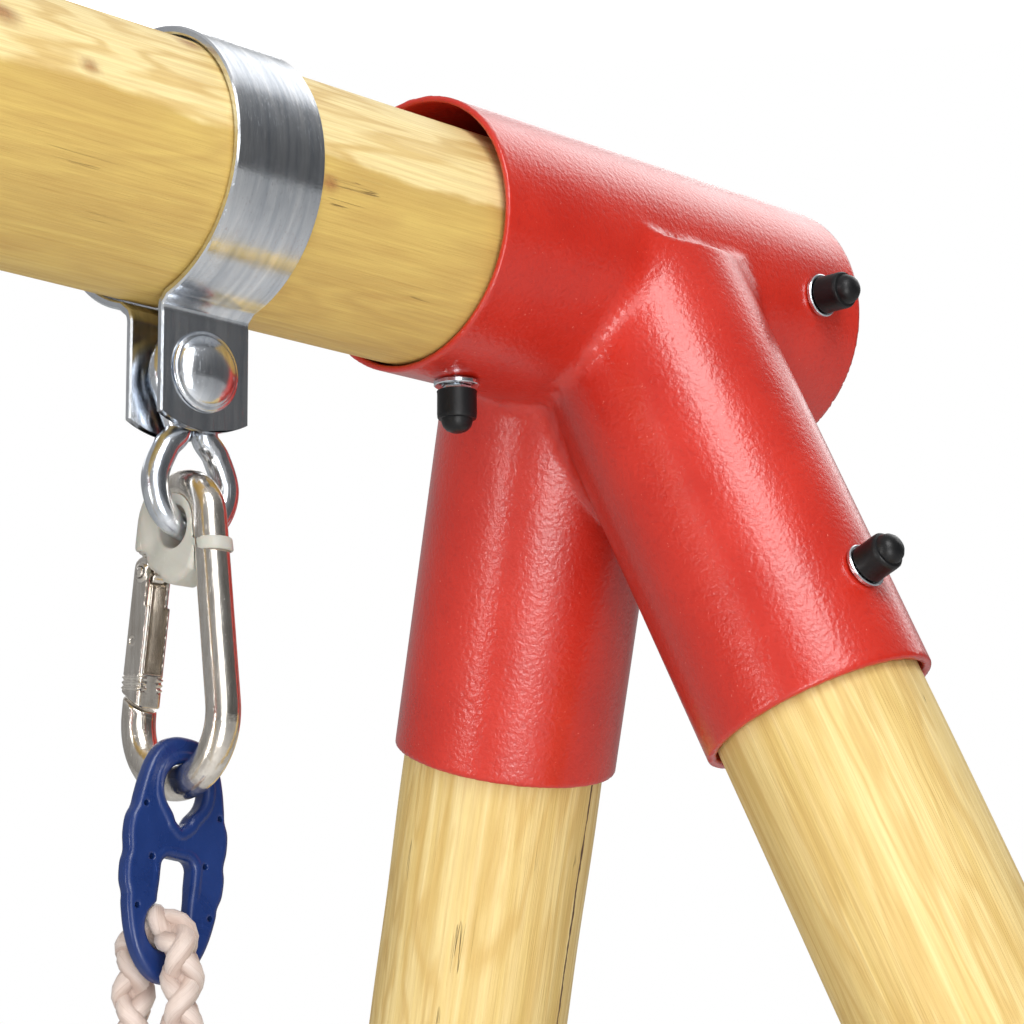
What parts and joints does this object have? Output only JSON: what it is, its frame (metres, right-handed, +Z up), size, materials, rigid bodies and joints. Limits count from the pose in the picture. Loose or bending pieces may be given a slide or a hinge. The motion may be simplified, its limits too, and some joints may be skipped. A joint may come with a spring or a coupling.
{
  "type": "swing set",
  "caption": "Free-standing round-timber swing: a crossbeam in welded tube corner brackets on splayed A-frame legs, with a seat hung by ropes from snap hooks.",
  "frame": {"origin": "on the ground, under the middle of the crossbeam", "axes": "X along the crossbeam, Y the way the seat swings, +Z up"},
  "size_m": [1.592, 1.6772, 2.0445],
  "materials": {
    "pine": "peeled, oiled, satin",
    "red_powder_coat": "glossy with an orange-peel texture",
    "zinc_plated_steel": "bright zinc plate",
    "nickel_plated_steel": "polished plate",
    "black_plastic": "satin moulded",
    "white_nylon": "translucent, satin",
    "blue_plastic": "moulded, semi-gloss",
    "rope_fibre": "braided, slight sheen"
  },
  "bodies": {
    "frame": {"crossbeam": "pine", "bracket_left": "red_powder_coat", "front_leg_left": "pine", "rear_leg_left": "pine", "screw_under_left": "zinc_plated_steel", "washer_under_left": "zinc_plated_steel", "cap_under_left": "black_plastic", "screw_side_left": "zinc_plated_steel", "washer_side_left": "zinc_plated_steel", "cap_side_left": "black_plastic", "screw_front_leg_left": "zinc_plated_steel", "washer_front_leg_left": "zinc_plated_steel", "cap_front_leg_left": "black_plastic", "screw_rear_leg_left": "zinc_plated_steel", "washer_rear_leg_left": "zinc_plated_steel", "cap_rear_leg_left": "black_plastic", "band_left": "zinc_plated_steel", "carriage_bolt_left": "zinc_plated_steel", "nut_left": "zinc_plated_steel", "bush_left": "zinc_plated_steel", "eye_link_left": "zinc_plated_steel", "bracket_right": "red_powder_coat", "front_leg_right": "pine", "rear_leg_right": "pine", "screw_under_right": "zinc_plated_steel", "washer_under_right": "zinc_plated_steel", "cap_under_right": "black_plastic", "screw_side_right": "zinc_plated_steel", "washer_side_right": "zinc_plated_steel", "cap_side_right": "black_plastic", "screw_front_leg_right": "zinc_plated_steel", "washer_front_leg_right": "zinc_plated_steel", "cap_front_leg_right": "black_plastic", "screw_rear_leg_right": "zinc_plated_steel", "washer_rear_leg_right": "zinc_plated_steel", "cap_rear_leg_right": "black_plastic", "band_right": "zinc_plated_steel", "carriage_bolt_right": "zinc_plated_steel", "nut_right": "zinc_plated_steel", "bush_right": "zinc_plated_steel", "eye_link_right": "zinc_plated_steel"},
    "hook_left": {"snap_hook_left": "nickel_plated_steel", "gate_pin_left": "nickel_plated_steel", "thimble_left": "white_nylon"},
    "gate_left": {"gate_left": "nickel_plated_steel"},
    "line_left": {"rope_ring_left": "blue_plastic", "rope_left": "rope_fibre", "knot_front_left": "rope_fibre", "knot_rear_left": "rope_fibre"},
    "hook_right": {"snap_hook_right": "nickel_plated_steel", "gate_pin_right": "nickel_plated_steel", "thimble_right": "white_nylon"},
    "gate_right": {"gate_right": "nickel_plated_steel"},
    "line_right": {"rope_ring_right": "blue_plastic", "rope_right": "rope_fibre", "knot_front_right": "rope_fibre", "knot_rear_right": "rope_fibre"},
    "seat": {"seat": "blue_plastic"}
  },
  "joints": [
    {"name": "swing_left", "type": "hinge", "parent": "frame", "child": "hook_left", "pos_m": [-0.23, 0, 1.8916], "axis": [1, 0, 0], "range_deg": [-45, 45]},
    {"name": "sway_left", "type": "hinge", "parent": "hook_left", "child": "line_left", "pos_m": [-0.23, 0, 1.818], "axis": [0, 1, 0], "range_deg": [-5, 5]},
    {"name": "gate_left", "type": "hinge", "parent": "hook_left", "child": "gate_left", "pos_m": [-0.23, 0.0134, 1.88061], "axis": [1, 0, 0], "range_deg": [-25, 0], "stiffness_Nm_per_rad": 0.02, "springref_deg": 20.05},
    {"name": "swing_right", "type": "hinge", "parent": "frame", "child": "hook_right", "pos_m": [0.23, 0, 1.8916], "axis": [1, 0, 0], "range_deg": [-45, 45]},
    {"name": "sway_right", "type": "hinge", "parent": "hook_right", "child": "line_right", "pos_m": [0.23, 0, 1.818], "axis": [0, 1, 0], "range_deg": [-5, 5]},
    {"name": "gate_right", "type": "hinge", "parent": "hook_right", "child": "gate_right", "pos_m": [0.23, 0.0134, 1.88061], "axis": [1, 0, 0], "range_deg": [-25, 0], "stiffness_Nm_per_rad": 0.02, "springref_deg": 20.05},
    {"name": "seat_level", "type": "hinge", "parent": "line_left", "child": "seat", "pos_m": [-0.23, 0, 0.418], "axis": [0, 1, 0], "range_deg": [-5, 5]}
  ],
  "couplings": [
    {"joint": "swing_right", "follows": "swing_left", "ratio": 1},
    {"joint": "sway_right", "follows": "sway_left", "ratio": 1},
    {"joint": "seat_level", "follows": "sway_left", "ratio": -1}
  ]
}
